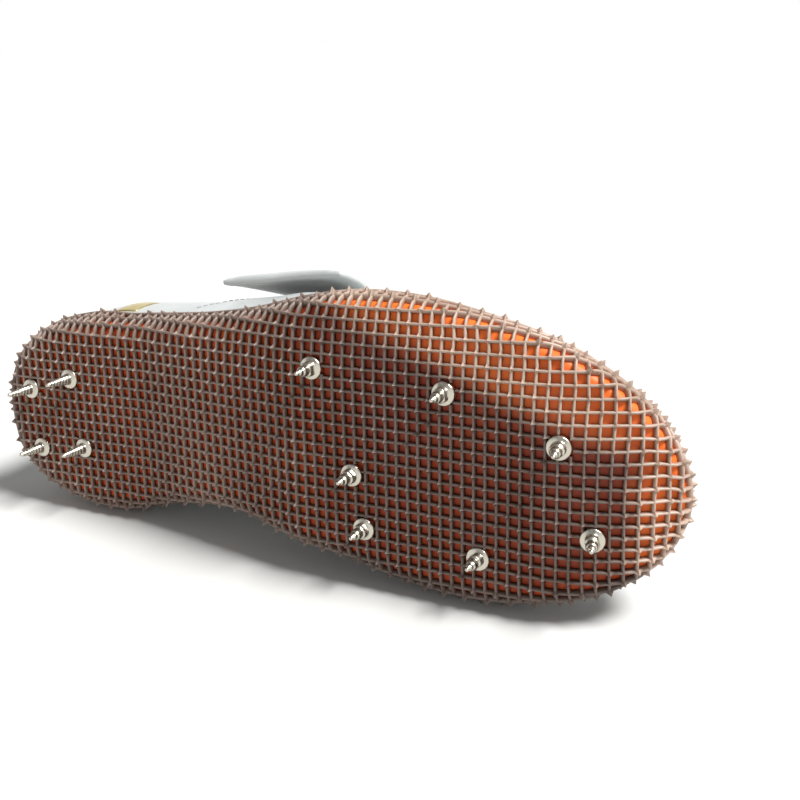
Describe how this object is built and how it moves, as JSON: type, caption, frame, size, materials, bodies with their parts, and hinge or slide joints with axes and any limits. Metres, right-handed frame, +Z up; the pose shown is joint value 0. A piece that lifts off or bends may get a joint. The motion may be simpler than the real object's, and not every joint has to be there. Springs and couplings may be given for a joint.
{
  "type": "track spike shoe",
  "caption": "Right track shoe lying on its medial side: orange rubber sole under a grey toothed grip net, screw-in spikes, white laced upper with an instep strap.",
  "frame": {"origin": "centre of the bounding box on the floor, the shoe lying on its medial side", "axes": "+X from heel to toe along the shoe, -Y the way the sole faces, +Z up to the lateral side"},
  "size_m": [0.2898, 0.1304, 0.1039],
  "materials": {
    "orange_rubber": "smooth orange rubber",
    "grey_rubber": "matt taupe grey rubber",
    "white_foam": "white foam with a fine skin",
    "white_synthetic": "white synthetic leather",
    "grey_lining": "soft lining",
    "grey_synthetic": "light grey synthetic leather",
    "white_webbing": "flat woven lace",
    "steel_loop": "dull steel",
    "nickel_steel": "polished nickel plating"
  },
  "bodies": {
    "root": {"outsole": "orange_rubber", "grip_net": "grey_rubber", "midsole": "white_foam", "insole": "grey_lining", "upper": "white_synthetic", "tongue": "white_synthetic", "collar_pad": "grey_lining", "heel_tab": "grey_synthetic", "eyestay": "white_synthetic", "laces": "white_webbing", "strap": "white_synthetic", "strap_loop": "steel_loop", "spike_heel_1": "nickel_steel", "spike_heel_2": "nickel_steel", "spike_heel_3": "nickel_steel", "spike_heel_4": "nickel_steel", "spike_fore_1": "nickel_steel", "spike_fore_2": "nickel_steel", "spike_fore_3": "nickel_steel", "spike_fore_4": "nickel_steel", "spike_fore_5": "nickel_steel", "spike_fore_6": "nickel_steel", "spike_fore_7": "nickel_steel"}
  },
  "joints": []
}
